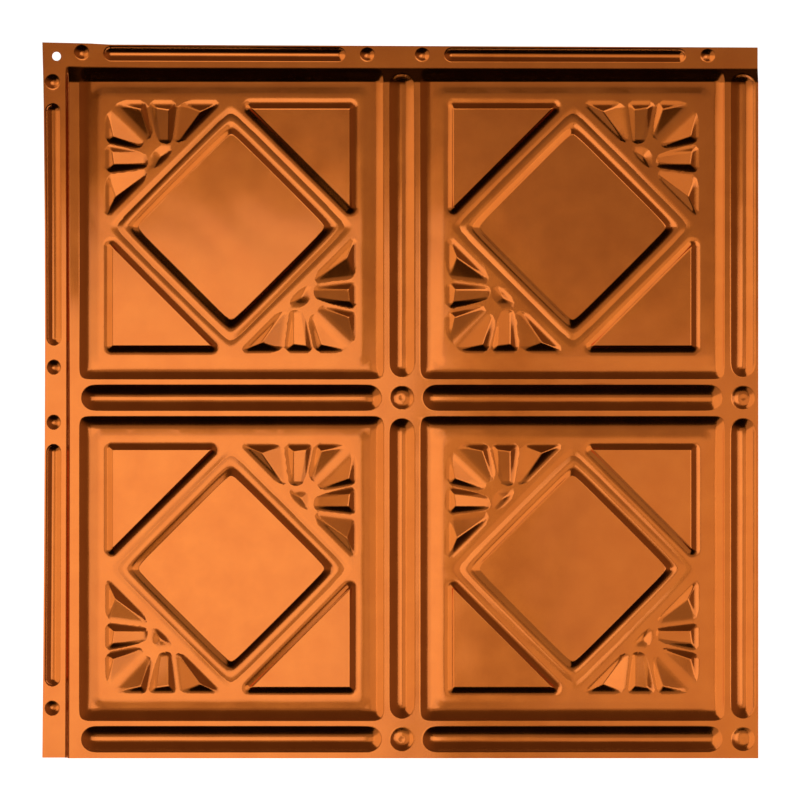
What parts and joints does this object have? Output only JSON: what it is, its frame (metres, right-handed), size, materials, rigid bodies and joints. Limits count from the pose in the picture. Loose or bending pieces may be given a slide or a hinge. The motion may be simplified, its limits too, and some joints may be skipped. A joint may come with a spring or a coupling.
{
  "type": "pressed tin ceiling tile",
  "caption": "Square pressed tin ceiling tile, copper finish: raised panel frames with sunken diamonds and corner fans, half-round bars and buttons between, nailing flange on adjoining edges",
  "frame": {"origin": "centre of the tile's square outline, on the plane of the flange's back face (the floor the tile lies on)", "axes": "+Z out of the show face, +Y towards the edge with the top nailing flange, +X away from the edge with the left nailing flange"},
  "size_m": [0.6404, 0.6404, 0.0086],
  "materials": {
    "copper_finish": "copper-coloured metallic lacquer on tinplate, satin gloss"
  },
  "bodies": {
    "root": {"ceiling_tile": "copper_finish"}
  },
  "joints": []
}
